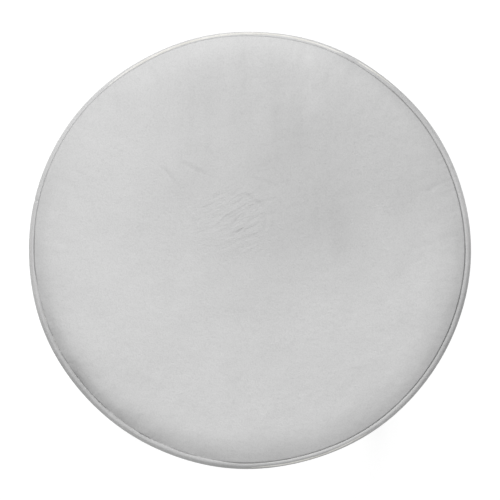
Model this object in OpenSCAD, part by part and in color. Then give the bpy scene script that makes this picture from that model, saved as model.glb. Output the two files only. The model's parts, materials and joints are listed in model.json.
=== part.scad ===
// Round padded shower stool with a swivel seat on a ball-race turntable and four splayed
// telescopic legs locked by snap buttons. Millimetres, +Z up, origin on the floor under
// the seat's centre, legs at their shortest setting.

/* [Seat] */
// Overall diameter of the seat, across the side band
seat_d = 350; // [340:5:370]
// Height of the top of the pad with the legs pushed fully in
seat_h = 430; // [420:5:450]
// Rise of the pad from its edge seam to its middle
crown = 11; // [8:1:14]
// Height of the foam at its edge
foam_edge = 37; // [30:1:40]
// Thickness of the moulded seat board
board_t = 12; // [12:1:15]
// Diameter of the piping that covers the edge seam
welt_d = 4.4; // [4.2:0.2:4.8]
// Thickness of the vinyl cover
vinyl_t = 1.2; // [1:0.1:1.4]

/* [Turntable] */
// Side of the two square plates
plate_side = 150; // [144:2:150]
// Diameter of the balls
ball_d = 6; // [5:0.5:6]
// Number of balls
ball_count = 36; // [24:2:36]
// Radius of the ball race
race_r = 53; // [50:1:54]

/* [Legs] */
// Outside diameter of the upper leg tube
leg_d = 28.6; // [28:0.2:29]
// Outside diameter of the sliding lower leg tube
slide_d = 22.2; // [22:0.1:22.4]
// Wall thickness of both tubes
tube_wall = 1.5; // [1.3:0.1:1.5]
// Angle of each leg from the vertical
splay = 5; // [4:0.5:6]
// Distance of each foot's centre from the stool's axis
foot_r = 185; // [182:1:190]
// Radius of the tube's bend
bend_r = 55; // [50:1:56]
// Step from one height setting to the next
hole_pitch = 20; // [15:1:20]
// Number of height settings
hole_count = 7; // [5:1:7]

/* [Hidden] */
$fn = 64;
LEGS = [1, 2, 3, 4];

gap = 0.15;              // running clearance of the bearing and the guide plug
over = 1;                // how far a cutting shape runs past a face

// Seat
seat_r = seat_d / 2;
seam_z = seat_h - crown;
board_top = seam_z - foam_edge;
board_z = board_top - board_t;
board_r = seat_r - 5.5;
board_edge = 5;          // radius of the board's lower edge
lip = 1.9;               // how far the side band stands out past the welt
welt_r = seat_r - lip - welt_d / 2;
welt_z = seam_z + 0.4;
cord_r = welt_d / 2 - 1;
seam_r = welt_r - welt_d / 2 - 0.3;
dome = 3;                // part of the crown that is one shallow dome
shoulder_w = 24;         // width of the rounded shoulder beside the seam
band_top = seam_z - 2.2;
band_roll = 2.6;         // tight roll of the side band under the welt
hem_r = board_r - 23.5;  // raw edge of the vinyl under the board
flange_t = 1.1;          // sewing flange of the welt
flange_r = seat_r - 4.2;
flange_z = seam_z - 14;
staple_count = 28;
staple_r = board_r - 18.5;
staple_w = 11;
staple_wire = [1, 0.6];

// Turntable
plate_t = 1.6;
plate_corner = 12;
race_play = gap;
table_h = 2 * (plate_t + ball_d / 2 + race_play - 0.35) + 3.2;
table_z = board_z - table_h;
ball_z = (board_z + table_z) / 2;
groove_r = ball_d / 2 + race_play;
race_gap = 1.6;          // space between the two races
screw_r = 90.5;          // distance of the plates' screws from the axis
thread_r = 2.95;         // M6 shank
clear_r = 3.2;           // M6 clearance hole
insert_r = 4;
insert_h = 10;
rivet_r = 7.5;
rivet_bore = 5.5;
rivet_head_r = 12;
rivet_head_t = 1.2;

// Hub
hub_h = 42;
hub_flange = 6;
core_r = 30;
barrel_r = 18.5;
barrel_in = 52;          // from the leg bolt to the barrel's inner and outer ends
barrel_out = 22;
socket_in = 34;          // from the leg bolt to the socket's floor
pad_drop = 19;           // from the tube's axis to the flat under the bolt head
bolt_r = 72;             // distance of the leg bolts from the stool's axis
nut_af = 10;
nut_h = 5;
leg_nut_h = 3.8;
nut_top = 18.2;          // from the tube's axis to the top of the leg bolt's nut
rib_t = 4;

// Legs
tube_z = table_z - 19;   // height of the tube's axis at its bolt
bend_up = bend_r * (cos(splay) - sin(splay));
bend_in = bend_r * (cos(splay) + sin(splay));
knee_z = (tube_z - bend_up + (foot_r - bend_in - bolt_r) * tan(splay)) * pow(cos(splay), 2);
knee_r = foot_r - knee_z * tan(splay);
bolt_run = (knee_r - bend_in - bolt_r) / cos(splay);
run_len = bolt_run + socket_in - 2;
axis_len = knee_z / cos(splay);
travel = hole_pitch * (hole_count - 1);
foot_top = axis_len - 52;
leg_len = foot_top - 6;
bush_flange = 3;
bush_depth = 28;
tip_rubber = 14;         // rubber and washer under the lower tube, along the leg
slide_end = axis_len - tip_rubber;
slide_start = 16;
plug_head = 10;
plug_spigot = 12;
button_s = slide_start + 30;
button_d = 8.4;
button_hole = 9;
button_out = 2.8;        // how far the button stands out of the leg
washer_t = 2;
foot_base_r = 23;
foot_neck_r = 14.8;
spring_t = 0.6;
spring_w = 7;
spring_len = 46;

// Crowned line from the middle to the seam, moved in and down by the same amount
function crown_line(inset = 0) =
    let (flat = seam_r - shoulder_w, shoulder = shoulder_w - inset)
    [for (a = concat([for (i = [-8:-1]) i], [for (i = [0:7.5:90]) i]))
        let (r = a < 0 ? flat * (8 + a) / 8 : flat + shoulder * sin(a))
        [r, seat_h - inset - dome * pow(r / seam_r, 2) - (crown - dome) * (1 - cos(max(a, 0)))]];
// Side from the welt's flange over a tight roll and in to the board's lower edge, from the top down
function side_line(inset) =
    let (low = board_z + board_edge, mid = band_top - band_roll)
    concat(
        [[flange_r + 0.3, band_top - inset]],
        [for (a = [90:-15:0])
            [seat_r - band_roll + (band_roll - inset) * cos(a), mid + (band_roll - inset) * sin(a)]],
        [for (i = [1:12]) let (t = i / 12)
            [seat_r - (seat_r - board_r - vinyl_t) * pow(t, 2.2) - inset, mid - (mid - low) * t]]);
function edge_arc(r) =
    [for (a = [0:15:90]) [board_r - board_edge + r * cos(a), board_z + board_edge - r * sin(a)]];
function backwards(list) = [for (i = [len(list) - 1:-1:0]) list[i]];

// Each leg's own plane holds +X outwards from the stool's axis
module at_leg(i) {
    rotate([0, 0, 45 + 90 * (i - 1)]) children();
}

// +Z runs down the leg from the knee and +X faces outwards
module down_leg(i) {
    at_leg(i) translate([knee_r, 0, knee_z]) rotate([0, 180 - splay, 0]) rotate([0, 0, 180]) children();
}

// Origin where the leg bolt crosses the tube's axis, +X outwards along the tube and +Z up across it
module in_socket(i) {
    down_leg(i) translate([-bend_r - bolt_run, 0, -bend_r]) rotate([180, 0, 0]) children();
}

module ring(outer, inner, z, h) {
    translate([0, 0, z]) difference() {
        cylinder(r = outer, h = h);
        translate([0, 0, -over]) cylinder(r = inner, h = h + 2 * over);
    }
}

module around(count, radius) {
    for (k = [0:count - 1]) rotate([0, 0, 360 * k / count]) translate([radius, 0, 0]) children();
}

module hexagon(across, h) {
    cylinder(d = across / cos(30), h = h, $fn = 6);
}

// Seat

module top_panel() {
    color("gainsboro") rotate_extrude() polygon(concat(crown_line(), backwards(crown_line(vinyl_t))));
}

module side_band() {
    color("gainsboro") rotate_extrude() polygon(concat(
        side_line(0), edge_arc(board_edge + vinyl_t), [[hem_r, board_z - vinyl_t], [hem_r, board_z]],
        backwards(edge_arc(board_edge)), backwards(side_line(vinyl_t))));
}

module welt_cover() {
    color("lightgray") rotate_extrude() difference() {
        union() {
            translate([welt_r, welt_z]) circle(d = welt_d);
            translate([flange_r - flange_t, flange_z]) square([flange_t, seam_z - flange_z - 1.3]);
        }
        translate([welt_r, welt_z]) circle(r = cord_r);
    }
}

module welt_cord() {
    color("white") rotate_extrude() translate([welt_r, welt_z]) circle(r = cord_r);
}

module foam_pad() {
    side = [for (p = backwards(side_line(vinyl_t + gap))) if (p[1] > board_top && p[1] < flange_z - 1) p];
    edge = flange_r - flange_t - gap;
    color("lightyellow") rotate_extrude() polygon(concat(
        [[0, board_top], [board_r + 1, board_top]], side, [[edge, flange_z - 0.5], [edge, seam_z - 2.6]],
        backwards(crown_line(vinyl_t + gap))));
}

module seat_board() {
    color("whitesmoke") difference() {
        rotate_extrude() polygon(concat(
            [[0, board_z], [0, board_top], [board_r, board_top]], edge_arc(board_edge)));
        translate([0, 0, board_z - over]) cylinder(r = rivet_head_r + 3, h = over + 2.5);
        rotate([0, 0, 45]) around(4, screw_r)
            translate([0, 0, board_z - over]) cylinder(r = insert_r, h = over + insert_h);
    }
}

module board_inserts() {
    color("goldenrod") rotate([0, 0, 45]) around(4, screw_r) ring(insert_r, thread_r + 0.05, board_z, insert_h);
}

module cover_staples() {
    wire = staple_wire;
    color("silver") around(staple_count, staple_r) translate([0, 0, board_z - vinyl_t]) {
        translate([-wire[0] / 2, -staple_w / 2, -wire[1]]) cube([wire[0], staple_w, wire[1]]);
        for (side = [0, 1]) mirror([0, side, 0])
            translate([-wire[0] / 2, staple_w / 2 - wire[1], -wire[1]])
                cube([wire[0], wire[1], wire[1] + vinyl_t + 5]);
    }
}

// Turntable

module square_plate(z) {
    inner = plate_side / 2 - plate_corner;
    translate([0, 0, z]) linear_extrude(plate_t) union() {
        square([plate_side, 2 * inner], center = true);
        square([2 * inner, plate_side], center = true);
        for (x = [-inner, inner], y = [-inner, inner]) translate([x, y]) circle(r = plate_corner);
    }
}

// One plate with its half of the pressed race: up is 1 for the seat's plate and -1 for the frame's
module race_plate(z, up) {
    race_low = up > 0 ? ball_z + race_gap / 2 : z + plate_t / 2;
    race_high = up > 0 ? z + plate_t / 2 : ball_z - race_gap / 2;
    difference() {
        union() {
            square_plate(z);
            ring(race_r + groove_r + plate_t, race_r - groove_r - plate_t, race_low, race_high - race_low);
        }
        rotate_extrude() translate([race_r, ball_z]) circle(r = groove_r);
        translate([0, 0, z - over]) cylinder(r = rivet_r + 0.5, h = plate_t + 2 * over);
        rotate([0, 0, 45]) around(4, screw_r)
            translate([0, 0, z - over]) cylinder(r = clear_r, h = plate_t + 2 * over);
    }
}

module upper_plate() {
    color("silver") race_plate(board_z - plate_t, 1);
}

module lower_plate() {
    color("silver") rotate([0, 0, 45]) race_plate(table_z, -1);
}

// Low round head with a hex socket, head downwards at z = 0 and shank upwards
module low_head_bolt(shank, head_r = 6, head_h = 2.6) {
    difference() {
        union() {
            translate([0, 0, -head_h]) cylinder(r1 = head_r - 1.4, r2 = head_r, h = head_h * 0.6);
            translate([0, 0, -head_h * 0.4]) cylinder(r = head_r, h = head_h * 0.4);
            cylinder(r = thread_r, h = shank);
        }
        translate([0, 0, -head_h - over]) hexagon(4, over + 1.8);
    }
}

module upper_plate_screws() {
    color("dimgray") rotate([0, 0, 45]) around(4, screw_r)
        translate([0, 0, board_z - plate_t]) low_head_bolt(plate_t + insert_h - 1.5);
}

module bearing_balls() {
    color("lightslategray") around(ball_count, race_r) translate([0, 0, ball_z]) sphere(d = ball_d);
}

module ball_retainer() {
    color("white") difference() {
        ring(race_r + 5, race_r - 5, ball_z - 0.5, 1);
        around(ball_count, race_r) translate([0, 0, ball_z - over]) cylinder(r = ball_d / 2 + 0.2, h = 2 * over);
    }
}

module centre_rivet() {
    top = board_z + 0.3;
    color("silver") difference() {
        union() {
            translate([0, 0, table_z - rivet_head_t]) cylinder(r = rivet_head_r, h = rivet_head_t);
            translate([0, 0, table_z - 0.5]) cylinder(r = rivet_r, h = top - table_z + 1);
            translate([0, 0, top]) cylinder(r = rivet_head_r, h = rivet_head_t);
        }
        translate([0, 0, table_z - 2 * over]) cylinder(r = rivet_bore, h = table_h + 4 * over);
    }
}

// Frame

module hub_flange_plate() {
    inner = plate_side / 2 - plate_corner;
    rotate([0, 0, 45]) translate([0, 0, table_z - hub_flange]) linear_extrude(hub_flange) union() {
        square([plate_side, 2 * inner], center = true);
        square([2 * inner, plate_side], center = true);
        for (x = [-inner, inner], y = [-inner, inner]) translate([x, y]) circle(r = plate_corner);
    }
}

module hub_rib(k) {
    rotate([90, 0, 90 * k]) translate([0, 0, -rib_t / 2]) linear_extrude(rib_t) polygon([
        [core_r - 4, table_z - hub_h + 3], [core_r + 12, table_z - hub_h + 3],
        [screw_r - 12, table_z - hub_flange - 3], [screw_r - 12, table_z - hub_flange + 1],
        [core_r - 4, table_z - hub_flange + 1]]);
}

module frame_hub() {
    color("lightgray") difference() {
        union() {
            hub_flange_plate();
            translate([0, 0, table_z - hub_h]) cylinder(r = core_r, h = hub_h - 1);
            for (i = LEGS) in_socket(i) {
                translate([-barrel_in, 0, 0]) rotate([0, 90, 0]) cylinder(r = barrel_r, h = barrel_in + barrel_out);
                translate([0, 0, -pad_drop]) cylinder(r = 8, h = pad_drop);
            }
            for (k = [0:3]) hub_rib(k);
        }
        for (i = LEGS) in_socket(i) {
            translate([-socket_in, 0, 0]) rotate([0, 90, 0])
                cylinder(d = leg_d + 0.2, h = socket_in + barrel_out + over);
            translate([0, 0, -pad_drop - over]) cylinder(r = clear_r, h = 2 * pad_drop);
            translate([0, 0, nut_top - leg_nut_h]) hexagon(nut_af + 0.2, leg_nut_h + 2 * over);
        }
        around(4, screw_r) translate([0, 0, table_z - hub_flange - over])
            cylinder(r = clear_r, h = hub_flange + 2 * over);
        translate([0, 0, table_z - 2]) cylinder(r = rivet_head_r + 2, h = 2 + over);
        translate([0, 0, table_z - hub_h - over]) cylinder(r = rivet_bore + 1, h = hub_h + 2 * over);
        translate([0, 0, table_z - hub_h - over]) cylinder(r = core_r - 9, h = 20 + over);
    }
}

module plate_bolts() {
    color("dimgray") around(4, screw_r) translate([0, 0, table_z + plate_t]) mirror([0, 0, 1])
        low_head_bolt(plate_t + hub_flange + nut_h + 1.5);
}

module plate_nuts() {
    color("silver") around(4, screw_r) translate([0, 0, table_z - hub_flange - nut_h]) difference() {
        hexagon(nut_af, nut_h);
        translate([0, 0, -over]) cylinder(r = thread_r + 0.05, h = nut_h + 2 * over);
    }
}

module leg_bolts() {
    color("dimgray") for (i = LEGS) in_socket(i) translate([0, 0, -pad_drop])
        low_head_bolt(pad_drop + nut_top - 0.3);
}

module leg_nuts() {
    color("silver") for (i = LEGS) in_socket(i) translate([0, 0, nut_top - leg_nut_h]) difference() {
        hexagon(nut_af, leg_nut_h);
        translate([0, 0, -over]) cylinder(r = thread_r + 0.05, h = leg_nut_h + 2 * over);
    }
}

// Bent rod: its straight leg down +Z, then a right-angle bend and the run into the hub
module bent_rod(r, extra) {
    cylinder(r = r, h = leg_len + extra);
    translate([-bend_r, 0, 0]) rotate([-90, 0, 0]) rotate_extrude(angle = 90) translate([bend_r, 0]) circle(r = r);
    translate([-bend_r, 0, -bend_r]) rotate([0, -90, 0]) rotate(180) cylinder(r = r, h = run_len + extra);
}

module upper_leg(i) {
    color("silver") down_leg(i) difference() {
        bent_rod(leg_d / 2, 0);
        bent_rod(leg_d / 2 - tube_wall, over);
        translate([-bend_r - bolt_run, 0, -bend_r - leg_d]) cylinder(r = clear_r, h = 2 * leg_d);
        for (k = [0:hole_count - 1]) translate([0, 0, button_s + hole_pitch * k])
            rotate([0, 90, 0]) cylinder(d = button_hole, h = leg_d);
    }
}

module leg_bush(i) {
    sleeve_r = leg_d / 2 - tube_wall - 0.05;
    color("gray") down_leg(i) difference() {
        union() {
            translate([0, 0, leg_len - bush_depth]) cylinder(r = sleeve_r, h = bush_depth);
            translate([0, 0, leg_len]) cylinder(r = leg_d / 2, h = bush_flange * 0.6);
            translate([0, 0, leg_len + bush_flange * 0.6])
                cylinder(r1 = leg_d / 2, r2 = leg_d / 2 - 1, h = bush_flange * 0.4);
        }
        translate([0, 0, leg_len - bush_depth - over])
            cylinder(r = slide_d / 2 + 0.2, h = bush_depth + bush_flange + 2 * over);
    }
}

module lower_leg(i) {
    color("silver") down_leg(i) difference() {
        translate([0, 0, slide_start]) cylinder(r = slide_d / 2, h = slide_end - slide_start);
        translate([0, 0, slide_start - over])
            cylinder(r = slide_d / 2 - tube_wall + 0.1, h = slide_end - slide_start + 2 * over);
        translate([0, 0, button_s]) rotate([0, 90, 0]) cylinder(d = button_d + 0.4, h = slide_d);
    }
}

module guide_plug(i) {
    head_r = leg_d / 2 - tube_wall - gap - 0.05;
    spigot_r = slide_d / 2 - tube_wall + 0.05;
    color("gray") down_leg(i) difference() {
        union() {
            translate([0, 0, slide_start - plug_head]) cylinder(r1 = head_r - 1.5, r2 = head_r, h = 2);
            translate([0, 0, slide_start - plug_head + 2]) cylinder(r = head_r, h = plug_head - 2);
            translate([0, 0, slide_start - 0.5]) cylinder(r = spigot_r, h = plug_spigot + 0.5);
        }
        translate([0, 0, slide_start - plug_head + 2.5]) cylinder(r = spigot_r - 1.5, h = plug_head + plug_spigot);
    }
}

// Folded spring strip: one leaf behind the button, the other along the far wall
module snap_spring(i) {
    near = 6;
    far = -(slide_d / 2 - tube_wall) + 1.6;
    color("lightsteelblue") down_leg(i) translate([0, spring_w / 2, button_s - 5]) rotate([90, 0, 0])
        linear_extrude(spring_w) polygon([
            [near, 0], [near, 12], [far + 2.4, spring_len], [far, spring_len], [far, 6],
            [far + spring_t, 6], [far + spring_t, spring_len - spring_t],
            [far + 2, spring_len - spring_t], [near - spring_t, 12], [near - spring_t, 0]]);
}

module snap_button(i) {
    tip = leg_d / 2 + button_out;
    color("lightslategray") down_leg(i) translate([0, 0, button_s]) rotate([0, 90, 0]) {
        translate([0, 0, 6.1]) cylinder(r = button_d / 2 + 1.2, h = 1.2);
        translate([0, 0, 7]) cylinder(d = button_d, h = tip - 2 - 7);
        translate([0, 0, tip - 2]) cylinder(r1 = button_d / 2, r2 = button_d / 2 - 1.2, h = 1.2);
        translate([0, 0, tip - 0.8]) cylinder(r1 = button_d / 2 - 1.2, r2 = button_d / 2 - 2.6, h = 0.8);
    }
}

module foot_tip(i) {
    base = 7;
    color("dimgray") difference() {
        union() {
            at_leg(i) translate([foot_r, 0, 0]) {
                cylinder(r1 = foot_base_r - 1, r2 = foot_base_r, h = 1);
                translate([0, 0, 1]) cylinder(r = foot_base_r, h = base - 2);
                translate([0, 0, base - 1]) cylinder(r1 = foot_base_r, r2 = foot_base_r - 2, h = 1);
                translate([0, 0, base]) cylinder(r1 = foot_base_r - 3, r2 = foot_neck_r, h = 14);
            }
            down_leg(i) translate([0, 0, foot_top]) cylinder(r = foot_neck_r, h = 43);
        }
        down_leg(i) translate([0, 0, foot_top - over])
            cylinder(r = slide_d / 2 + 0.05, h = slide_end + washer_t - foot_top + over);
        at_leg(i) translate([foot_r, 0, 0]) for (r = [10, 16]) ring(r + 2, r, -over, over + 1.5);
    }
}

module foot_washer(i) {
    color("silver") down_leg(i) translate([0, 0, slide_end]) cylinder(r = slide_d / 2, h = washer_t);
}

top_panel();
side_band();
welt_cover();
welt_cord();
foam_pad();
seat_board();
board_inserts();
cover_staples();
upper_plate();
upper_plate_screws();
bearing_balls();
ball_retainer();
lower_plate();
centre_rivet();
frame_hub();
plate_bolts();
plate_nuts();
leg_bolts();
leg_nuts();
for (i = LEGS) {
    upper_leg(i);
    leg_bush(i);
    lower_leg(i);
    guide_plug(i);
    snap_spring(i);
    snap_button(i);
    foot_tip(i);
    foot_washer(i);
}
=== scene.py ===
import json
import math
import random

import bmesh
import bpy
import numpy as np
from mathutils import Matrix, Vector, noise


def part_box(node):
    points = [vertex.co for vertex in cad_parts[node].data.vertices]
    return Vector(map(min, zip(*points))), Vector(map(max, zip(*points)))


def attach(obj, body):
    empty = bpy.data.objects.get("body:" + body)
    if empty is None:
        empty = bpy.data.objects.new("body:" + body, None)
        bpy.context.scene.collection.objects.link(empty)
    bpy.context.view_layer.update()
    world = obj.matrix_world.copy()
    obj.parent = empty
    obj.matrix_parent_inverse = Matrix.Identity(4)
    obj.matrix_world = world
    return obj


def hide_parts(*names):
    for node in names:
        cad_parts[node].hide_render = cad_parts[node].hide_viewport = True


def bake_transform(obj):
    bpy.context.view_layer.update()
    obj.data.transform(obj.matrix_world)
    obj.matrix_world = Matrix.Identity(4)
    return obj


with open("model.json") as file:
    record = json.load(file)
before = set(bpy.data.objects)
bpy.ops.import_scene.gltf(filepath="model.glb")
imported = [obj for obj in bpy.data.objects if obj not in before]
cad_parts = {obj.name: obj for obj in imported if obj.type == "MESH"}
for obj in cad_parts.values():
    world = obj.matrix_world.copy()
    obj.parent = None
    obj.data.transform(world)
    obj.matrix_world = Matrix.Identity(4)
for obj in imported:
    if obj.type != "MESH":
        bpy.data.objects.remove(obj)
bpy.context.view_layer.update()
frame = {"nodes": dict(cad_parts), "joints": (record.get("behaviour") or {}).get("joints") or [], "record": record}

print("stool: frame loaded")
scene = bpy.context.scene
mm = 0.001
turn = 2 * math.pi


def newMaterial(name):
    mat = bpy.data.materials.new(name)
    mat.use_nodes = True
    nodes, links = mat.node_tree.nodes, mat.node_tree.links
    nodes.clear()
    out = nodes.new("ShaderNodeOutputMaterial")
    shader = nodes.new("ShaderNodeBsdfPrincipled")
    links.new(shader.outputs[0], out.inputs[0])
    return mat, nodes, links, shader


def speckle(nodes, links, where, scale, detail=3.0, rough=0.6, stretch=(1, 1, 1)):
    # noise over the piece's own place, stretch squeezes it along an axis
    mapping = nodes.new("ShaderNodeMapping")
    mapping.inputs["Scale"].default_value = stretch
    links.new(where, mapping.inputs["Vector"])
    tex = nodes.new("ShaderNodeTexNoise")
    tex.inputs["Scale"].default_value = scale
    tex.inputs["Detail"].default_value = detail
    tex.inputs["Roughness"].default_value = rough
    links.new(mapping.outputs[0], tex.inputs["Vector"])
    return tex.outputs["Fac"]


def spread(nodes, links, fac, low, high, start=0.3, stop=0.7):
    # maps a texture to a range of values
    node = nodes.new("ShaderNodeMapRange")
    node.inputs["From Min"].default_value = start
    node.inputs["From Max"].default_value = stop
    node.inputs["To Min"].default_value = low
    node.inputs["To Max"].default_value = high
    links.new(fac, node.inputs["Value"])
    return node.outputs["Result"]


def tint(nodes, links, fac, dark, light):
    ramp = nodes.new("ShaderNodeValToRGB")
    ramp.color_ramp.elements[0].position = 0.3
    ramp.color_ramp.elements[0].color = (*dark, 1)
    ramp.color_ramp.elements[1].position = 0.7
    ramp.color_ramp.elements[1].color = (*light, 1)
    links.new(fac, ramp.inputs["Fac"])
    return ramp.outputs["Color"]


def relief(nodes, links, shader, layers):
    # layers of (height, distance), the last one lies on top
    normal = None
    for height, distance in layers:
        bump = nodes.new("ShaderNodeBump")
        bump.inputs["Strength"].default_value = 1.0
        bump.inputs["Distance"].default_value = distance
        links.new(height, bump.inputs["Height"])
        if normal:
            links.new(normal, bump.inputs["Normal"])
        normal = bump.outputs["Normal"]
    links.new(normal, shader.inputs["Normal"])


vinyl = {
    "dark": (0.545, 0.545, 0.545),
    "light": (0.605, 0.605, 0.605),
    "cloudSize": 14,       # repeats per metre of the faint cloudiness
    "grainSize": 950,      # repeats per metre of the pebbled grain
    "grainDepth": 0.00006,
    "roughness": (0.44, 0.56),
    # softly darker patches over the middle, painted shade where the sheen reflects little light: middle, half
    # width, share taken off
    "dimReflectionPatches": [
        ((0.030, 0.028, 0.42), (0.160, 0.125, 0.3), 0.125),
        ((0.122, 0.095, 0.42), (0.140, 0.125, 0.3), 0.090),
        ((0.016, 0.085, 0.42), (0.060, 0.110, 0.3), 0.030),
        ((-0.048, 0.058, 0.42), (0.034, 0.028, 0.3), 0.025),
        ((0.064, 0.030, 0.42), (0.024, 0.052, 0.3), 0.045),
    ],
    "drift": 0.05,         # how far the painted shade patches' edges wander
    # faint dark streaks down from the far edge, a painted reflection: middle, half width, share
    "reflectionStreaks": ((0.0, 0.115, 0.42), (0.120, 0.080, 0.3), 0.060),
    # painted shade along the sewn edge, in the groove beside the seam and on the piping: middle, half width, share
    # on the shoulder, share on the piping
    "paintedSeamShade": [
        ((0.150, -0.070, 0.42), (0.170, 0.150, 0.4), 0.16, 0.12),
        ((-0.140, -0.110, 0.42), (0.120, 0.120, 0.4), 0.26, 0.04),
        ((0.000, -0.200, 0.42), (0.160, 0.110, 0.4), 0.06, 0.31),
        ((0.130, 0.130, 0.42), (0.110, 0.110, 0.4), 0.10, 0.04),
        ((-0.190, 0.010, 0.42), (0.080, 0.130, 0.4), 0.12, 0.0),
    ],
    "shoulderShadeSpan": (158 * mm, 168 * mm),   # radius where it starts and where it is full
    "pipingShadeSpan": (168 * mm, 170 * mm),
    # finely wrinkled patch: middle, half width, depth
    "creased": ((-0.012, 0.026, 0.42), (0.052, 0.046, 0.3), 0.00128),
}


def softPatch(nodes, links, where, middle, halfWidth):
    # 1 in the middle of a patch, fading to 0 at its edge
    mapping = nodes.new("ShaderNodeMapping")
    mapping.inputs["Scale"].default_value = [1 / w for w in halfWidth]
    mapping.inputs["Location"].default_value = [-m / w for m, w in zip(middle, halfWidth)]
    links.new(where, mapping.inputs["Vector"])
    ball = nodes.new("ShaderNodeTexGradient")
    ball.gradient_type = "SPHERICAL"
    links.new(mapping.outputs[0], ball.inputs["Vector"])
    soft = nodes.new("ShaderNodeMapRange")
    soft.interpolation_type = "SMOOTHSTEP"
    links.new(ball.outputs["Fac"], soft.inputs["Value"])
    return soft.outputs["Result"]


def fromMiddle(nodes, links, where, start, stop):
    # rises from 0 to 1 between two radii round the seat's axis
    flat = nodes.new("ShaderNodeVectorMath")
    flat.operation = "MULTIPLY"
    links.new(where, flat.inputs[0])
    flat.inputs[1].default_value = (1, 1, 0)
    far = nodes.new("ShaderNodeVectorMath")
    far.operation = "LENGTH"
    links.new(flat.outputs[0], far.inputs[0])
    rise = nodes.new("ShaderNodeMapRange")
    rise.interpolation_type = "SMOOTHSTEP"
    rise.inputs["From Min"].default_value = start
    rise.inputs["From Max"].default_value = stop
    links.new(far.outputs["Value"], rise.inputs["Value"])
    return rise.outputs["Result"]


def multiplied(nodes, links, a, b):
    node = nodes.new("ShaderNodeMath")
    node.operation = "MULTIPLY"
    for socket, value in zip(node.inputs, (a, b)):
        if isinstance(value, (int, float)):
            socket.default_value = value
        else:
            links.new(value, socket)
    return node.outputs[0]


def darkened(nodes, links, colour, amount, shade=0.0):
    node = nodes.new("ShaderNodeMix")
    node.data_type = "RGBA"
    links.new(amount, node.inputs["Factor"])
    links.new(colour, node.inputs["A"])
    node.inputs["B"].default_value = (shade, shade, shade, 1)
    return node.outputs["Result"]


def makeVinyl():
    mat, nodes, links, shader = newMaterial("vinylGrain")
    where = nodes.new("ShaderNodeTexCoord").outputs["Object"]
    cloud = speckle(nodes, links, where, vinyl["cloudSize"], 4, 0.65)
    mottle = speckle(nodes, links, where, vinyl["cloudSize"] * 12, 4, 0.7)
    both = nodes.new("ShaderNodeMix")
    both.inputs["Factor"].default_value = 0.35
    links.new(cloud, both.inputs["A"])
    links.new(mottle, both.inputs["B"])
    base = tint(nodes, links, both.outputs["Result"], vinyl["dark"], vinyl["light"])
    cells = nodes.new("ShaderNodeTexVoronoi")
    cells.feature = "SMOOTH_F1"
    cells.inputs["Scale"].default_value = vinyl["grainSize"]
    cells.inputs["Smoothness"].default_value = 0.6
    links.new(where, cells.inputs["Vector"])
    # painted shade: the hollows between the pebbles are a little darker
    pebbleHollowShade = spread(nodes, links, cells.outputs["Distance"], 0.0, 0.10, 0.2, 0.9)
    base = darkened(nodes, links, base, pebbleHollowShade)
    drift = nodes.new("ShaderNodeVectorMath")
    drift.operation = "MULTIPLY_ADD"
    wobble = nodes.new("ShaderNodeTexNoise")
    wobble.inputs["Scale"].default_value = 16
    wobble.inputs["Detail"].default_value = 3
    links.new(where, wobble.inputs["Vector"])
    links.new(wobble.outputs["Color"], drift.inputs[0])
    drift.inputs[1].default_value = (vinyl["drift"], vinyl["drift"], 0.0)
    links.new(where, drift.inputs[2])
    # painted shade: softly darker patches over the middle where the sheen reflects little light
    for middle, halfWidth, share in vinyl["dimReflectionPatches"]:
        moved = (middle[0] + vinyl["drift"] / 2, middle[1] + vinyl["drift"] / 2, middle[2])
        patch = softPatch(nodes, links, drift.outputs[0], moved, halfWidth)
        base = darkened(nodes, links, base, multiplied(nodes, links, patch, share))
    # painted reflection: faint dark streaks down from the far edge
    middle, halfWidth, share = vinyl["reflectionStreaks"]
    streak = spread(nodes, links, speckle(nodes, links, where, 75, 2, 0.5, (1, 0.1, 1)), 0, share)
    streak = multiplied(nodes, links, streak, softPatch(nodes, links, where, middle, halfWidth))
    base = darkened(nodes, links, base, streak)
    # painted shade on the shoulder and the piping beside the seam, patchy round the ring
    shoulder = fromMiddle(nodes, links, where, *vinyl["shoulderShadeSpan"])
    patchy = spread(nodes, links, speckle(nodes, links, where, 60, 3), 0.55, 1.0)
    shoulder = multiplied(nodes, links, shoulder, patchy)
    edge = fromMiddle(nodes, links, where, *vinyl["pipingShadeSpan"])
    for middle, halfWidth, inner, outer in vinyl["paintedSeamShade"]:
        patch = softPatch(nodes, links, where, middle, halfWidth)
        for place, share in ((shoulder, inner), (edge, outer)):
            paintedShade = multiplied(nodes, links, multiplied(nodes, links, patch, place), share)
            base = darkened(nodes, links, base, paintedShade)
    links.new(base, shader.inputs["Base Color"])
    links.new(spread(nodes, links, mottle, *vinyl["roughness"]), shader.inputs["Roughness"])
    shader.inputs["Specular IOR Level"].default_value = 0.42
    pebbles = spread(nodes, links, cells.outputs["Distance"], 1.0, 0.0, 0.0, 1.0)
    fine = speckle(nodes, links, where, vinyl["grainSize"] * 2.3, 2)
    pulled = speckle(nodes, links, where, 330, 3, 0.6, (0.45, 1, 1))
    middle, halfWidth, depth = vinyl["creased"]
    tilted = nodes.new("ShaderNodeMapping")
    tilted.inputs["Rotation"].default_value = (0, 0, math.radians(-28))
    links.new(where, tilted.inputs["Vector"])
    fold = speckle(nodes, links, tilted.outputs[0], 250, 2, 0.5, (0.3, 1, 1))
    fold = multiplied(nodes, links, fold, softPatch(nodes, links, where, middle, halfWidth))
    relief(nodes, links, shader, [
        (pebbles, vinyl["grainDepth"]), (fine, vinyl["grainDepth"] * 0.4), (mottle, 0.00022),
        (pulled, 0.00016), (fold, depth)])
    return mat


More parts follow.
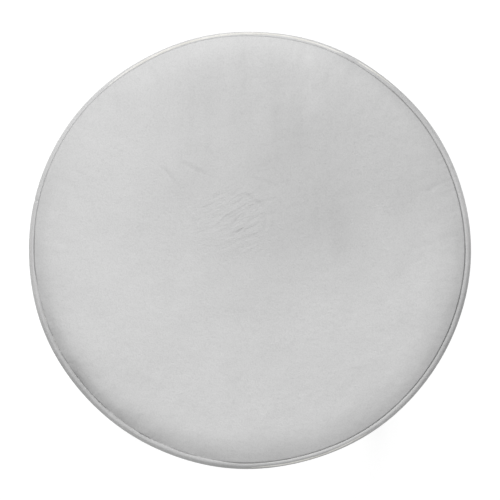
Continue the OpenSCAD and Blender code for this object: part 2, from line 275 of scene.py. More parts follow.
def makeSolid(name, dark, light, size, roughness, metallic=0.0, relief1=0.00003, relief2=0.00006,
              stretch=(1, 1, 1), spots=0, specular=0.5):
    # one finish for metals, plastics and rubbers: two sizes of unevenness in colour, gloss and relief
    mat, nodes, links, shader = newMaterial(name)
    where = nodes.new("ShaderNodeTexCoord").outputs["Object"]
    fine = speckle(nodes, links, where, size, 4, 0.6, stretch)
    broad = speckle(nodes, links, where, size / 9, 3, 0.6)
    links.new(tint(nodes, links, broad, dark, light), shader.inputs["Base Color"])
    links.new(spread(nodes, links, fine, *roughness), shader.inputs["Roughness"])
    shader.inputs["Metallic"].default_value = metallic
    shader.inputs["Specular IOR Level"].default_value = specular
    layers = [(fine, relief1), (broad, relief2)]
    if spots:
        cells = nodes.new("ShaderNodeTexVoronoi")
        cells.inputs["Scale"].default_value = spots
        links.new(where, cells.inputs["Vector"])
        layers.append((cells.outputs["Distance"], relief1 * 3))
    relief(nodes, links, shader, layers)
    return mat


def makeFoam():
    mat, nodes, links, shader = newMaterial("openFoam")
    where = nodes.new("ShaderNodeTexCoord").outputs["Object"]
    cells = nodes.new("ShaderNodeTexVoronoi")
    cells.inputs["Scale"].default_value = 900
    links.new(where, cells.inputs["Vector"])
    links.new(tint(nodes, links, cells.outputs["Distance"], (0.45, 0.38, 0.22), (0.80, 0.72, 0.50)),
              shader.inputs["Base Color"])
    links.new(spread(nodes, links, cells.outputs["Distance"], 0.85, 1.0), shader.inputs["Roughness"])
    broad = speckle(nodes, links, where, 40)
    relief(nodes, links, shader, [(cells.outputs["Distance"], 0.0004), (broad, 0.0005)])
    return mat


finishes = {
    "vinyl": makeVinyl(),
    "foam": makeFoam(),
    "piping_core": makeSolid("pipingCore", (0.62, 0.61, 0.57), (0.74, 0.73, 0.70), 500, (0.45, 0.65)),
    "board": makeSolid("boardPlastic", (0.55, 0.55, 0.53), (0.64, 0.64, 0.62), 700, (0.42, 0.60),
                       spots=1400),
    "hub_plastic": makeSolid("hubPlastic", (0.46, 0.47, 0.48), (0.55, 0.56, 0.57), 800, (0.36, 0.54),
                             spots=1600),
    "plug_plastic": makeSolid("plugPlastic", (0.075, 0.080, 0.088), (0.115, 0.120, 0.130), 900,
                              (0.38, 0.56)),
    "zinc_steel": makeSolid("zincSteel", (0.46, 0.47, 0.50), (0.64, 0.65, 0.66), 240, (0.24, 0.44), 1.0),
    "bolt_steel": makeSolid("boltSteel", (0.42, 0.42, 0.43), (0.55, 0.55, 0.56), 600, (0.20, 0.34), 1.0),
    "ball_steel": makeSolid("ballSteel", (0.62, 0.62, 0.64), (0.70, 0.70, 0.72), 900, (0.05, 0.12), 1.0,
                            0, 0),
    "leg_aluminium": makeSolid("anodisedTube", (0.54, 0.55, 0.57), (0.62, 0.63, 0.65), 500,
                               (0.30, 0.44), 1.0, 0.000012, 0.00004, (1, 1, 0.04)),
    "insert_brass": makeSolid("insertBrass", (0.52, 0.34, 0.11), (0.66, 0.46, 0.18), 500, (0.25, 0.40),
                              1.0),
    "foot_rubber": makeSolid("footRubber", (0.030, 0.030, 0.031), (0.052, 0.052, 0.053), 420, (0.55, 0.80),
                             0.0, 0.00006, 0.00010, spots=1100, specular=0.35),
    "thread": makeSolid("seamThread", (0.62, 0.62, 0.62), (0.70, 0.70, 0.70), 2600, (0.55, 0.75), 0.0,
                        0.00008),
}
print("stool: finishes made")


def smoothStep(x):
    x = np.clip(x, 0, 1)
    return x * x * (3 - 2 * x)


def ringNoise(angle, low, high, seed):
    # wave that closes on itself round the seat, about -1 to 1
    draw = random.Random(seed)
    total = np.zeros_like(angle)
    power = 0.0
    for k in range(low, high + 1):
        size = draw.uniform(0.3, 1.0)
        total += size * np.cos(k * angle + draw.uniform(0, turn))
        power += size * size / 2
    return total / (2 * math.sqrt(power))


def gathers(angle, pitch, seed, patchy=0.6):
    # sewn gathers round the rim: narrow hollows at an uneven pitch, stronger in patches
    draw = random.Random(seed)
    total = np.zeros_like(angle)
    at = 0.0
    while at < turn - pitch / 2:
        width = pitch * draw.uniform(0.18, 0.34)
        depth = draw.uniform(0.25, 1.0)
        away = (angle - at + math.pi) % turn - math.pi
        total += depth * np.exp(-(away / width) ** 2)
        at += pitch * draw.uniform(0.7, 1.35)
    patches = 1 - patchy + patchy * np.clip(0.5 + ringNoise(angle, 2, 9, seed + 1), 0, 1.4)
    return total * patches


def spaceNoise(points, size, seed, octaves=2):
    # smooth noise at points, size is the width of its patches in metres
    shift = Vector((seed * 3.1, seed * 7.7, seed * 1.3))
    out = np.empty(len(points))
    for i, p in enumerate(points):
        out[i] = noise.fractal(Vector(p) / size + shift, 0.6, 2.0, octaves)
    return out


seat = {
    "shoulder": 24 * mm,   # rounded width beside the seam
    "dome": 3 * mm,        # shallow rise of the middle
    "vinyl": 1.2 * mm,
    "slim": 0.4 * mm,      # the sewn cover's mean outline stands this far inside the pattern
    "oval": (1.0 * mm, 4),         # stands out along this direction (degrees), and in across it
    "fuller": (0.4 * mm, 200),     # and stands out a little more on this side
    "uneven": 0.4 * mm,            # the rest of hand upholstery's unevenness
    "fall": 5.75 * mm,     # the rounded edge drops this far to the seam
    "tuck": 0.25 * mm,     # and a little more where it is sewn in
    # the pad rolls out over the piping on one side: towards (degrees), to each side (degrees), how far
    "rollOver": (122, 84, 1.6 * mm),
    # and sinks lower at the shoulder on another: towards, to each side, how far
    "slump": (222, 50, 2.3 * mm),
}
panelLow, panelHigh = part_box("top_panel")
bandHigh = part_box("side_band")[1]
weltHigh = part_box("welt_cover")[1]
cordLow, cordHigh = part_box("welt_cord")
boardLow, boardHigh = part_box("seat_board")
foamLow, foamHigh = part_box("foam_pad")
seamR = panelHigh.x
rimR = seamR + 1.25 * mm    # the panel's edge beds against the piping
seamZ = panelLow.z + seat["vinyl"]
topZ = panelHigh.z
weltWidth = 2 * (weltHigh.z - (cordLow.z + cordHigh.z) / 2)
weltR = weltHigh.x - weltWidth / 2
weltZ = weltHigh.z - weltWidth / 2


def awayFrom(angle, degrees):
    # how far round from a direction, in radians either way
    return (angle - math.radians(degrees) + math.pi) % turn - math.pi


def ringPoints(angle, across, height):
    # points once round the seat's axis at a distance from it
    return np.column_stack([across * np.cos(angle), across * np.sin(angle), height + 0 * angle])


def giveOf(angle):
    # how far the sewn cover stands in from its pattern's true circle
    size, towards = seat["oval"]
    stands = size * np.cos(2 * awayFrom(angle, towards))
    size, towards = seat["fuller"]
    stands = stands + size * np.cos(awayFrom(angle, towards))
    return seat["slim"] - stands - seat["uneven"] * ringNoise(angle, 3, 11, 15)


def onOneSide(angle, towards, side, far):
    # far on one side of the seat, fading out both ways round
    return far * smoothStep(1.15 - np.abs(awayFrom(angle, towards)) / math.radians(side))


def rollAt(angle):
    return onOneSide(angle, *seat["rollOver"])


def crownAt(radius, inset=0.0):
    # the pad's crowned profile, flat in the middle, rounded at the shoulder and tucked in at the seam
    flat = seamR - seat["shoulder"]
    out = np.clip((radius - flat) / (rimR - flat), 0, 1)
    tuck = np.clip((radius - rimR + 2.2 * mm) / (2.2 * mm), 0, 1)
    drop = seat["dome"] * (radius / seamR) ** 2 + seat["fall"] * out ** 2.2 + seat["tuck"] * tuck ** 2
    return topZ - inset - drop


def addPiece(name, points, faces, finish, body, stands=(), ride=True):
    mesh = bpy.data.meshes.new(name)
    mesh.from_pydata([tuple(p) for p in points], [], faces)
    mesh.validate()
    mesh.shade_smooth()
    piece = bpy.data.objects.new(name, mesh)
    scene.collection.objects.link(piece)
    mesh.materials.append(finishes[finish])
    if ride:
        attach(piece, body)
    if stands:
        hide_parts(*stands)
    return piece


def ringFaces(rows, around, first=0, closed=False, flip=False):
    # quads between rows of points that each go once round
    faces = []
    for r in range(rows if closed else rows - 1):
        a, b = first + r * around, first + (r + 1) % rows * around
        for k in range(around):
            n = (k + 1) % around
            quad = (a + k, a + n, b + n, b + k)
            faces.append(quad[::-1] if flip else quad)
    return faces


def discGrid(count):
    # a square grid pulled out to a unit disc, and its outer ring in order
    a = np.linspace(-1, 1, count + 1)
    u, v = np.meshgrid(a, a, indexing="ij")
    wide = np.abs(u) >= np.abs(v)
    radius = np.where(wide, u, v)
    with np.errstate(divide="ignore", invalid="ignore"):
        angle = np.where(wide, math.pi / 4 * v / u, math.pi / 2 - math.pi / 4 * u / v)
    angle = np.nan_to_num(angle)
    x, y = radius * np.cos(angle), radius * np.sin(angle)
    n = count + 1
    faces = [(i * n + j, (i + 1) * n + j, (i + 1) * n + j + 1, i * n + j + 1)
             for i in range(count) for j in range(count)]
    rim = [i * n for i in range(count)]
    rim += [count * n + j for j in range(count)]
    rim += [i * n + count for i in range(count, 0, -1)]
    rim += [j for j in range(count, 0, -1)]
    return np.stack([x.ravel(), y.ravel()], 1), faces, rim


top = {
    "grid": 128,               # cloth grid across the seat, doubled once after it
    "puff": 2.2,               # air pressure that stands in for the foam
    "slack": 0.022,            # extra cloth in the sewn edge
    "cap": 0.8 * mm,           # no wrinkle is taller than this
    "keep": 0.4,               # and the foam flattens them to this share
    "gatherPitch": 4.6 * mm,
    "gatherDepth": 0.55 * mm,
    "gatherReach": 7 * mm,
    "unevenDepth": 0.5 * mm,
    "unevenSize": 60 * mm,
    "rippleDepth": 0.10 * mm,
    "rippleSize": 9 * mm,
}

# creases in the vinyl: start and end from the middle, bow, depth and width, all in millimetres
creases = [
    ((-72, 67), (-56, 46), 1.5, 0.60, 1.5),
    ((-58, 71), (-30, 58), -1.0, 0.50, 1.4),
    ((-8, 45), (13, 29), 2.0, 0.46, 1.4),
    ((12, 32), (11, 13), 1.5, 0.34, 1.4),
    ((-1, 57), (25, 48), 0.5, 0.34, 1.3),
    ((56, 48), (62, -10), -4.0, 0.24, 3.0),
    ((38, 116), (44, 96), 1.0, 0.24, 2.4),
    ((-14, -18), (-6, -40), 1.0, 0.16, 2.2),
    ((138, 44), (150, 52), 0.5, 0.24, 1.6),
]
# short folds scattered over the creased patch: middle, spread, lie in degrees, how many
foldPatch = {"middle": (-14, 27), "spread": (15, 12), "lie": 26, "count": 70, "depth": 0.065, "seed": 61}


def creaseDepth(points, start, end, bow, depth, width):
    # a soft valley with a low ridge along one side, faded out at both ends
    a, b = np.array(start) * mm, np.array(end) * mm
    along = b - a
    length = np.linalg.norm(along)
    along = along / length
    side = np.array((-along[1], along[0]))
    rel = points - a
    t = rel @ along / length
    arc = bow * mm * 4 * np.clip(t, 0, 1) * (1 - np.clip(t, 0, 1))
    off = rel @ side - arc
    fade = smoothStep(t / 0.3) * smoothStep((1 - t) / 0.3)
    valley = np.exp(-(off / (width * mm)) ** 2)
    ridge = 0.45 * np.exp(-((off - 2.3 * width * mm) / (1.6 * width * mm)) ** 2)
    return depth * mm * fade * (ridge - valley)


def scatteredFolds():
    draw = random.Random(foldPatch["seed"])
    folds = []
    for k in range(foldPatch["count"]):
        x = draw.gauss(foldPatch["middle"][0], foldPatch["spread"][0])
        y = draw.gauss(foldPatch["middle"][1], foldPatch["spread"][1])
        lie = math.radians(foldPatch["lie"] + draw.gauss(0, 16))
        half = draw.uniform(2.0, 4.8)
        dx, dy = half * math.cos(lie), half * math.sin(lie)
        depth = foldPatch["depth"] * draw.uniform(0.5, 1.2)
        bow, width = draw.uniform(-1.2, 1.2), draw.uniform(0.8, 1.3)
        folds.append(((x - dx, y - dy), (x + dx, y + dy), bow, depth, width))
    return folds


def padTrial(points, faces, rim, reach):
    # cloth with a little extra at its sewn edge, held at the rim and pushed up from below
    mesh = bpy.data.meshes.new("padTrial")
    mesh.from_pydata([tuple(p) for p in points], [], faces)
    trial = bpy.data.objects.new("padTrial", mesh)
    scene.collection.objects.link(trial)
    held = trial.vertex_groups.new(name="held")
    held.add(rim, 1.0, "REPLACE")
    loose = trial.vertex_groups.new(name="loose")
    for i in range(len(points)):
        loose.add([i], float(reach[i]), "REPLACE")
    cloth = trial.modifiers.new("cloth", "CLOTH")
    settings = cloth.settings
    settings.quality = 6
    settings.mass = 0.35
    settings.tension_stiffness = 18
    settings.compression_stiffness = 18
    settings.shear_stiffness = 8
    settings.bending_stiffness = 1.2
    settings.effector_weights.gravity = 0
    settings.vertex_group_mass = "held"
    settings.use_pressure = True
    settings.uniform_pressure_force = top["puff"]
    settings.vertex_group_shrink = "loose"
    settings.shrink_min = 0.0
    settings.shrink_max = -top["slack"]
    cloth.point_cache.frame_start = 1
    cloth.point_cache.frame_end = 20
    for step in range(1, 21):
        scene.frame_set(step)
    shown = trial.evaluated_get(bpy.context.evaluated_depsgraph_get())
    moved = np.empty(len(points) * 3)
    shown.data.vertices.foreach_get("co", moved)
    scene.frame_set(1)
    bpy.data.objects.remove(trial)
    bpy.data.meshes.remove(mesh)
    return moved.reshape(-1, 3) - points


def evenSwell(radius, height):
    # mean height in each ring, as steps of radius and the height there
    steps = np.linspace(0, radius.max(), 40)
    ring = np.digitize(radius, steps)
    mean = [height[ring == k].mean() if (ring == k).any() else 0.0 for k in range(1, len(steps) + 1)]
    return steps, np.array(mean)


def doubled(values, count):
    # once subdivided: new points halfway between the old ones, then evened out
    grid = values.reshape(count + 1, count + 1, -1)
    fine = np.empty((2 * count + 1, 2 * count + 1, grid.shape[2]))
    fine[::2, ::2] = grid
    fine[1::2, ::2] = (grid[:-1] + grid[1:]) / 2
    fine[:, 1::2] = (fine[:, :-2:2] + fine[:, 2::2]) / 2
    inner = fine.copy()
    inner[1:-1, 1:-1] = (fine[1:-1, 1:-1] * 4 + fine[:-2, 1:-1] + fine[2:, 1:-1]
                         + fine[1:-1, :-2] + fine[1:-1, 2:]) / 8
    return inner.reshape(-1, grid.shape[2])


def makeTop():
    count = top["grid"]
    flat, faces, rim = discGrid(count)
    flat = flat * rimR
    radius = np.linalg.norm(flat, axis=1)
    start = np.column_stack([flat, crownAt(radius)])
    moved = np.zeros_like(start)
    edge = smoothStep((radius - seamR + 26 * mm) / (20 * mm))
    moved = padTrial(start, faces, rim, edge)
    # the foam holds the cover's height, so only its wrinkles are kept, without the even swell
    swell = np.interp(radius, *evenSwell(radius, moved[:, 2]))
    wrinkle = moved[:, 2] - swell
    print("stool: cloth swelled", round(float(swell.max()) * 1000, 2), "mm, wrinkled",
          round(float(np.abs(wrinkle).max()) * 1000, 2), "mm")
    moved = np.zeros_like(start)
    moved[:, 2] = top["keep"] * top["cap"] * np.tanh(wrinkle / top["cap"])
    moved = doubled(moved, count)

    count *= 2
    flat, faces, rim = discGrid(count)
    flat = flat * rimR
    radius = np.linalg.norm(flat, axis=1)
    angle = np.arctan2(flat[:, 1], flat[:, 0])
    fromSeam = rimR - radius
    z = crownAt(radius)
    inside = smoothStep(fromSeam / (3 * mm))
    pull = gathers(angle, top["gatherPitch"] / seamR, 11)
    reach = top["gatherReach"] * (1 + 0.5 * ringNoise(angle, 20, 60, 12))
    strength = 0.25 + onOneSide(angle, 0, 55, 0.6) + onOneSide(angle, 228, 50, 0.9)
    gather = top["gatherDepth"] * strength * pull * (0.35 + 0.65 * inside)
    gather *= np.exp(-(fromSeam / reach) ** 2)
    slump = onOneSide(angle, *seat["slump"]) * np.clip(0.75 + 0.6 * ringNoise(angle, 9, 40, 14), 0, 1.5)
    gather += slump * np.clip(1 - fromSeam / (17 * mm), 0, 1) ** 2.2
    broad = spaceNoise(np.column_stack([flat, z * 0]), top["unevenSize"], 3, 3)
    ripple = spaceNoise(np.column_stack([flat, z * 0]), top["rippleSize"], 8, 3)
    surface = top["unevenDepth"] * broad * smoothStep(fromSeam / (30 * mm))
    surface += top["rippleDepth"] * ripple * inside
    for crease in creases + scatteredFolds():
        surface += creaseDepth(flat, *crease)
    points = np.column_stack([flat, z]) + moved
    points[:, 2] += surface - gather
    points[:, 2] = np.minimum(points[:, 2], topZ + 0.4 * mm)
    outwards = (rollAt(angle) * (radius / rimR) ** 8 - giveOf(angle) * (radius / seamR) ** 2) / seamR
    points[:, :2] *= 1 + outwards[:, None]
    points[:, 2] += 0.75 * rollAt(angle) * (radius / rimR) ** 30

    # turned edge and the back of the vinyl, coarse because nothing shows of it
    around = len(rim)
    rimAngle = angle[rim]
    backRadii = [rimR - seat["vinyl"], seamR - 6 * mm, seamR - 16 * mm, seamR * 0.72, seamR * 0.35]
    back = []
    for r in backRadii:
        scale = 1 + (rollAt(rimAngle) * (r / rimR) ** 8 - giveOf(rimAngle) * (r / seamR) ** 2) / seamR
        height = crownAt(np.full(around, r), seat["vinyl"]) - 0.35 * mm * smoothStep((seamR - r) / (5 * mm))
        height = height + 0.75 * rollAt(rimAngle) * (r / rimR) ** 30
        back.append(ringPoints(rimAngle, r * scale, height))
    first = len(points)
    everything = np.vstack([points] + back + [[(0, 0, topZ - seat["vinyl"] - 0.35 * mm)]])
    faces = [tuple(f) for f in faces]
    for k in range(around):
        n = (k + 1) % around
        faces.append((rim[n], rim[k], first + k, first + n))
    faces += ringFaces(len(backRadii), around, first, flip=True)
    last = first + (len(backRadii) - 1) * around
    middle = len(everything) - 1
    faces += [(last + (k + 1) % around, last + k, middle) for k in range(around)]
    return addPiece("coverTop", everything, faces, "vinyl", "seat", ["top_panel"])


coverTop = makeTop()
print("stool: vinyl top made")


piping = {
    "around": 1400,
    "section": 16,
    "wander": 0.18 * mm,       # sideways wander of the sewn cord
    "low": 0.3 * mm,           # pulled down into the seam
    "wrinkle": 0.10 * mm,
    "wrinklePitch": 3.4 * mm,
    "joint": 167,              # where its two ends meet, in degrees
    "nicks": 7,                # deeper ones here and there
}


def makePiping():
    angle = np.arange(piping["around"]) * turn / piping["around"]
    centre = weltR - giveOf(angle) + piping["wander"] * ringNoise(angle, 9, 46, 21)
    height = weltZ - piping["low"] + piping["wander"] * ringNoise(angle, 7, 30, 22) - 0.3 * rollAt(angle)
    bulk = 1.05 - 0.02 * (1 + ringNoise(angle, 12, 60, 23))
    nip = piping["wrinkle"] * gathers(angle, piping["wrinklePitch"] / weltR, 24, 0.8)
    draw = random.Random(25)
    for _ in range(piping["nicks"]):
        away = awayFrom(angle, draw.uniform(0, 360)) * weltR
        nip = nip + 0.32 * mm * np.exp(-(away / (0.55 * mm)) ** 2)
    away = awayFrom(angle, piping["joint"]) * weltR
    nip = nip + 0.75 * mm * np.exp(-(away / (0.7 * mm)) ** 2)
    nip = nip - 0.30 * mm * np.exp(-((away + 4.5 * mm) / (2.6 * mm)) ** 2)
    points = []
    for k in range(piping["section"]):
        tip = turn * k / piping["section"]
        # wrinkles fade towards the sewn side
        outwards = 0.5 + 0.5 * math.cos(tip - math.radians(50))
        radius = weltWidth / 2 * bulk - nip * (0.35 + 0.65 * outwards) - 0.05 * mm
        across = centre + radius * math.cos(tip)
        points.append(ringPoints(angle, across, height + radius * math.sin(tip)))
    faces = ringFaces(piping["section"], piping["around"], 0, closed=True)
    # hollow for the cord inside
    around, section = 240, 10
    inner = np.arange(around) * turn / around
    coreR = (cordHigh.z - cordLow.z) / 2 - 0.2 * mm
    first = piping["section"] * piping["around"]
    for k in range(section):
        tip = turn * k / section
        across = weltR - giveOf(inner) + coreR * math.cos(tip)
        points.append(ringPoints(inner, across,
                                 weltZ - piping["low"] - 0.3 * rollAt(inner) + coreR * math.sin(tip)))
    faces += ringFaces(section, around, first, closed=True, flip=True)
    return addPiece("pipingCover", np.vstack(points), faces, "vinyl", "seat", ["welt_cover"])


pipingCover = makePiping()
print("stool: piping made")


band = {
    "around": 960,
    "roll": 2.6 * mm,          # tight roll out from under the piping
    "turnRadius": 6.2 * mm,    # edge of the board
    "gatherPitch": 5.2 * mm,
    "gatherDepth": 0.24 * mm,
    "pleats": 64,              # folds where the hem is drawn in under the board
    "pleatDepth": 0.8 * mm,
}
bandLowR = boardHigh.x + seat["vinyl"]
bandHemR = boardHigh.x - 23.5 * mm


def bandOutline(inset):
    # points (radius, height, share of the way down) from the piping to the hem
    roll, bend = band["roll"], band["turnRadius"]
    mid, low = bandHigh.z - roll, boardLow.z + bend - seat["vinyl"]
    out = [(bandHigh.x - roll - 1.2 * mm, bandHigh.z - inset, 0.0)]
    arc = roll - inset
    for a in np.linspace(math.pi / 2, 0, 8):
        out.append((bandHigh.x - roll + arc * math.cos(a), mid + arc * math.sin(a), 0.0))
    for t in np.linspace(0, 1, 24)[1:]:
        out.append((bandHigh.x - (bandHigh.x - bandLowR) * t ** 2.2 - inset, mid - (mid - low) * t, t))
    arc = bend - inset
    for a in np.linspace(0, math.pi / 2, 9)[1:]:
        out.append((bandLowR - bend + arc * math.cos(a), low - arc * math.sin(a), 1.0 + a / 10))
    for s in np.linspace(0, 1, 12)[1:]:
        out.append((bandLowR - bend + (bandHemR - bandLowR + bend) * s, low - bend + inset, 1.2 + s))
    return np.array(out)


def makeBand():
    angle = np.arange(band["around"]) * turn / band["around"]
    give = giveOf(angle)
    pull = gathers(angle, band["gatherPitch"] / weltR, 31)
    folds = gathers(angle, turn / band["pleats"], 33, 0.5)
    slow = ringNoise(angle, 4, 16, 34)
    away = awayFrom(angle, piping["joint"]) * weltR
    # the upright seam that closes the band stands under the piping's joint
    upright = 0.7 * mm * np.exp(-(away / (0.8 * mm)) ** 2)
    outer, inner = bandOutline(0.0), bandOutline(seat["vinyl"])
    points = []
    for r, z, s in outer:
        down = min(s, 1.0)
        rollDent = 0.3 if z > bandHigh.z - 2 * mm else 1.0
        hold = np.exp(-((down - 0.05) / 0.16) ** 2) * (1 if z < bandHigh.z - 2.4 * mm else 0.25)
        tuck = max(0.0, s - 0.8) / 1.4
        under = max(0.0, s - 1.2)
        dent = band["gatherDepth"] * pull * hold + (upright if s <= 1.2 else 0) * rollDent
        dent = dent + 0.25 * mm * slow * math.sin(math.pi * down)
        drawn = band["pleatDepth"] * folds * tuck
        across = r - give * (1 - down) - (dent if s <= 1.2 else 0) - (drawn * 0.5 if s <= 1.2 else 0)
        across = across + (0.9 * mm * ringNoise(angle, 5, 24, 35) if s > 2.1 else 0)
        sink = (drawn * (0.35 + 0.65 * under)) if s > 1.1 else drawn * 0
        points.append(ringPoints(angle, across, z + sink * 0.5))
    for r, z, s in inner[::-1]:
        down = min(s, 1.0)
        across = r - give * (1 - down)
        points.append(ringPoints(angle, across, z))
    rows = len(points)
    faces = ringFaces(rows, band["around"], 0, closed=True, flip=True)
    return addPiece("sideBand", np.vstack(points), faces, "vinyl", "seat", ["side_band"])


sideBand = makeBand()
print("stool: side band made")


foam = {
    "around": 240,
    "uneven": 0.35 * mm,
    "under": 0.75 * mm,        # room under the cover's wrinkles
}


def makeFoamPad():
    angle = np.arange(foam["around"]) * turn / foam["around"]
    edge = seamR - 2.2 * mm
    outline = []
    for r in np.linspace(0.12, 1, 22) * edge:
        outline.append((r, float(crownAt(r, seat["vinyl"])) - foam["under"]))
    outline.append((edge + 0.6 * mm, seamZ - 6 * mm))
    for t in np.linspace(0.32, 0.98, 10):
        z = bandHigh.z + (foamLow.z - bandHigh.z) * t
        outline.append((min(foamHigh.x - 0.4 * mm, edge + 6.6 * mm * math.sin(math.pi * t)), z))
    outline += [(edge - 3 * mm, foamLow.z), (edge * 0.5, foamLow.z)]
    points = []
    for r, z in outline:
        give = giveOf(angle) * (r / seamR) ** 2 * np.clip((z - foamLow.z) / 0.03, 0, 1)
        ruffle = foam["uneven"] * ringNoise(angle, 3, 20, 41) * (z > foamLow.z + 1 * mm) * (z < seamZ)
        across = r - give - np.abs(ruffle)
        points.append(ringPoints(angle, across, z))
    crownMid = len(points) * foam["around"]
    everything = np.vstack(points + [[(0, 0, topZ - seat["vinyl"] - foam["under"]), (0, 0, foamLow.z)]])
    faces = ringFaces(len(outline), foam["around"], 0, flip=True)
    last = (len(outline) - 1) * foam["around"]
    for k in range(foam["around"]):
        n = (k + 1) % foam["around"]
        faces.append((k, n, crownMid))
        faces.append((last + n, last + k, crownMid + 1))
    return addPiece("foamPad", everything, faces, "foam", "seat", ["foam_pad"])


foamPad = makeFoamPad()
print("stool: foam made")


stitch = {"pitch": 4.2 * mm, "length": 2.6 * mm, "thread": 0.40 * mm, "down": 0.10 * mm}


def makeStitches():
    count = round(turn * seamR / stitch["pitch"])
    draw = random.Random(51)
    points, faces = [], []
    for k in range(count):
        at = turn * k / count + draw.uniform(-0.08, 0.08) * stitch["pitch"] / seamR
        give = float(giveOf(np.array([at]))[0])
        r = rimR - 0.1 * mm - give
        z = weltZ + 1.35 * mm - stitch["down"] * draw.uniform(0.2, 1.8) - float(rollAt(np.array([at]))[0])
        half = stitch["length"] / 2 * draw.uniform(0.85, 1.1) / seamR
        first = len(points)
        steps = 6
        for s in range(steps + 1):
            t = s / steps * 2 - 1
            thick = stitch["thread"] / 2 * math.sqrt(max(0.02, 1 - t ** 4))
            a = at + half * t
            lift = z - 0.35 * mm * t * t
            for q in range(6):
                tip = turn * q / 6
                across = r + thick * math.cos(tip)
                points.append((across * math.cos(a), across * math.sin(a), lift + thick * math.sin(tip)))
        for s in range(steps):
            for q in range(6):
                n = (q + 1) % 6
                a, b = first + s * 6, first + (s + 1) * 6
                faces.append((a + q, a + n, b + n, b + q))
        faces.append(tuple(first + q for q in range(5, -1, -1)))
        faces.append(tuple(first + steps * 6 + q for q in range(6)))
    return addPiece("seamStitches", points, faces, "thread", "seat")


seamStitches = makeStitches()
print("stool: stitches made")


foot = {
    "around": 96,
    "height": 52 * mm,         # from the floor up the leg to the lip
    "bore": 11.15 * mm,
    "boreFloor": 12.0 * mm,
    "grooves": (11 * mm, 17 * mm),   # rings cut in the tread
    "sole": 23 * mm,
    "soleTop": 6.9 * mm,
    "waist": 16.5 * mm,
    "neck": 14.8 * mm,
    "ribs": 3,
    "ribPitch": 6.4 * mm,
    "flutes": 24,
    "fluteDepth": 0.5 * mm,
}


def footOutline():
    # (radius, height) from the middle of the tread to the lip
    rows = [(0, 0), (5 * mm, 0)]
    for groove in foot["grooves"]:
        rows += [(groove + out * mm, up * mm) for out, up in
                 ((-1.4, 0), (-1.0, 0.3), (-0.7, 1.4), (0.7, 1.4), (1.0, 0.3), (1.4, 0))]
    inner, bend, top = foot["sole"] - 2 * mm, 2.2 * mm, foot["soleTop"]
    for a in np.linspace(-math.pi / 2, 0, 5):
        rows.append((inner + 2 * mm * math.cos(a), bend + bend * math.sin(a)))
    for a in np.linspace(0, math.pi / 2, 5):
        rows.append((inner + 2 * mm * math.cos(a), top - bend + bend * math.sin(a)))
    neck = foot["neck"]
    for t in np.linspace(0, 1, 11)[1:]:
        rows.append((neck + (inner - neck) * (1 - t) ** 2.6, top + foot["waist"] * t))
    for k in range(foot["ribs"]):
        low = top + foot["waist"] + 1.2 * mm + foot["ribPitch"] * k
        rib = neck + 0.6 * mm
        rows += [(neck, low), (rib, low + 0.7 * mm), (rib, low + 2.4 * mm), (neck, low + 3.1 * mm)]
    rows.append((neck, foot["height"] - 4.5 * mm))
    lip = 1.4 * mm
    for a in np.linspace(0, 1.9, 5):
        rows.append((neck - lip + lip * math.cos(a), foot["height"] - lip + lip * math.sin(a)))
    return rows


def makeFoot(index):
    joint = next(j for j in frame["joints"] if j["name"] == "leg_extend_%d" % index)
    mount = next(m for m in frame["record"]["mounts"] if m["name"] == "floor_face_%d" % index)
    upLeg = -Vector(joint["axis"])
    base = Vector(mount["pos_m"])
    outDir = Vector((base.x, base.y, 0)).normalized()
    lean = math.acos(upLeg.z)
    sideDir = Vector((0, 0, 1)).cross(outDir)
    rows = footOutline()
    rows += [(foot["bore"], foot["height"] - 1 * mm), (foot["bore"], foot["boreFloor"])]
    rows.append((1.5 * mm, foot["boreFloor"]))
    points = []
    for r, h in rows[1:]:
        tilt = lean * float(smoothStep(np.array((h - 4 * mm) / (16 * mm))))
        if r < 12 * mm and h >= foot["boreFloor"]:
            tilt = lean
        centre = base + (upLeg if h > 6 * mm else Vector((0, 0, 1))) * h
        across = Matrix.Rotation(-tilt, 3, sideDir)
        for k in range(foot["around"]):
            a = turn * k / foot["around"]
            grow = 0.0
            if 8 * mm < h < 23 * mm and r > foot["neck"]:
                span = math.sin(math.pi * (h - 8 * mm) / (15 * mm))
                grow = -foot["fluteDepth"] * span * (0.5 + 0.5 * math.cos(foot["flutes"] * a)) ** 2
            p = (outDir * math.cos(a) + sideDir * math.sin(a)) * (r + grow)
            points.append(centre + across @ p)
    middle = len(points)
    points.append(base + Vector((0, 0, rows[0][1])))
    points.append(base + upLeg * foot["boreFloor"])
    faces = ringFaces(len(rows) - 1, foot["around"], 0)
    last = (len(rows) - 2) * foot["around"]
    for k in range(foot["around"]):
        n = (k + 1) % foot["around"]
        faces.append((n, k, middle))
        faces.append((last + k, last + n, middle + 1))
    return addPiece("rubberFoot%d" % index, points, faces, "foot_rubber", "leg_slide_%d" % index,
                    ["foot_tip_%d" % index])


for leg in (1, 2, 3, 4):
    makeFoot(leg)
print("stool: feet made")


slotOf = {part["node"]: part["material_slot"] for part in frame["record"]["subparts"]}
spring = {
    "bends": 14,               # cuts across the strip between its straight leaves
    "leaf": 0.9 * mm,          # depth of each leaf that stays straight
}


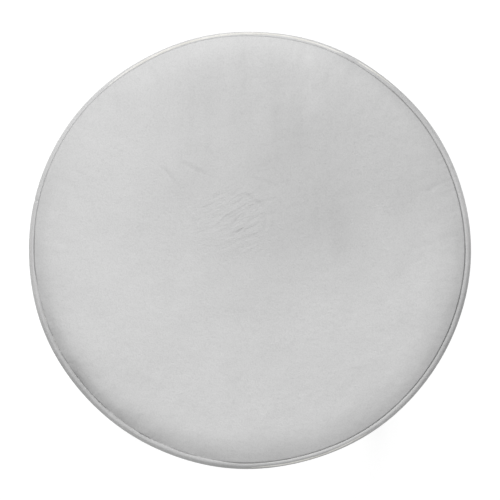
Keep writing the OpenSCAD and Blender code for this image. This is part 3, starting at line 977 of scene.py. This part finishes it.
def makeSpring(index):
    # on the stool the near leaf goes in with the button and the far leaf stays in the tube; here the strip is only
    # cut across along the line of press
    node = frame["nodes"]["snap_spring_%d" % index]
    joint = next(j for j in frame["joints"] if j["name"] == "button_press_%d" % index)
    press = Vector(joint["axis"]).normalized()
    strip = bmesh.new()
    strip.from_mesh(node.data)
    strip.transform(node.matrix_world)
    reach = [v.co.dot(press) for v in strip.verts]
    near, far = min(reach) + spring["leaf"], max(reach) - spring["leaf"]
    for cut in np.linspace(near, far, spring["bends"]):
        everything = strip.verts[:] + strip.edges[:] + strip.faces[:]
        bmesh.ops.bisect_plane(strip, geom=everything, plane_co=press * float(cut), plane_no=press)
    strip.verts.ensure_lookup_table()
    strip.verts.index_update()
    points = [v.co.copy() for v in strip.verts]
    faces = [[v.index for v in face.verts] for face in strip.faces]
    strip.free()
    name = slotOf["snap_spring_%d" % index]
    piece = addPiece("snapSpring%d" % index, points, faces, name, "leg_slide_%d" % index,
                     ["snap_spring_%d" % index], ride=False)
    piece.data.shade_flat()
    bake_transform(piece)


def dressNode(name, obj):
    for place in obj.material_slots:
        place.material = finishes[slotOf[name]]
    if not obj.material_slots:
        obj.data.materials.append(finishes[slotOf[name]])


for leg in (1, 2, 3, 4):
    makeSpring(leg)
print("stool: snap springs made")

for name, obj in frame["nodes"].items():
    if not obj.hide_render:
        dressNode(name, obj)
print("stool: nodes dressed")


stage = {
    "floor": 60.0,             # metres across
    "eye": 1.30,               # height of the camera over the piping
    "seatInView": 0.8865,      # share of the frame that the seat takes
    "world": 0.36,
}


def makeFloor():
    mesh = bpy.data.meshes.new("floor")
    h = stage["floor"] / 2
    mesh.from_pydata([(-h, -h, 0), (h, -h, 0), (h, h, 0), (-h, h, 0)], [], [(0, 1, 2, 3)])
    floor = bpy.data.objects.new("floor", mesh)
    scene.collection.objects.link(floor)
    mat, nodes, links, shader = newMaterial("floorWhite")
    where = nodes.new("ShaderNodeTexCoord").outputs["Object"]
    faint = speckle(nodes, links, where, 3, 2)
    paint = tint(nodes, links, faint, (0.34, 0.34, 0.34), (0.36, 0.36, 0.36))
    links.new(paint, shader.inputs["Base Color"])
    shader.inputs["Roughness"].default_value = 0.9
    shader.inputs["Specular IOR Level"].default_value = 0.1
    shader.inputs["Emission Color"].default_value = (1, 1, 1, 1)
    shader.inputs["Emission Strength"].default_value = 0.75
    mesh.materials.append(mat)
    floor.location.z = -0.4 * mm


def softLight(name, at, size, power, aim=(0, 0, 0.35)):
    data = bpy.data.lights.new(name, "AREA")
    data.shape = "DISK"
    data.size = size
    data.energy = power
    lamp = bpy.data.objects.new(name, data)
    scene.collection.objects.link(lamp)
    lamp.location = at
    lamp.rotation_euler = (Vector(aim) - Vector(at)).to_track_quat("-Z", "Y").to_euler()


def makeLight():
    world = bpy.data.worlds.new("studio")
    scene.world = world
    world.use_nodes = True
    back = world.node_tree.nodes["Background"]
    back.inputs["Color"].default_value = (1, 1, 1, 1)
    back.inputs["Strength"].default_value = stage["world"]
    softLight("windowLight", (-0.35, 3.6, 3.4), 2.2, 115)
    softLight("tentLight", (-0.55, -0.1, 4.1), 2.6, 63)


def makeCamera():
    data = bpy.data.cameras.new("camera")
    seatSpan = 2 * bandHigh.x
    data.sensor_width = 36
    data.lens = data.sensor_width * stage["seatInView"] * stage["eye"] / seatSpan
    data.clip_end = 20
    camera = bpy.data.objects.new("camera", data)
    scene.collection.objects.link(camera)
    camera.location = (0, 0, weltHigh.z + stage["eye"])
    camera.rotation_euler = (0, 0, 0)   # straight down
    bpy.context.scene.camera = camera


makeFloor()
makeLight()
makeCamera()
scene.view_settings.view_transform = "Standard"
print("stool: stage set")
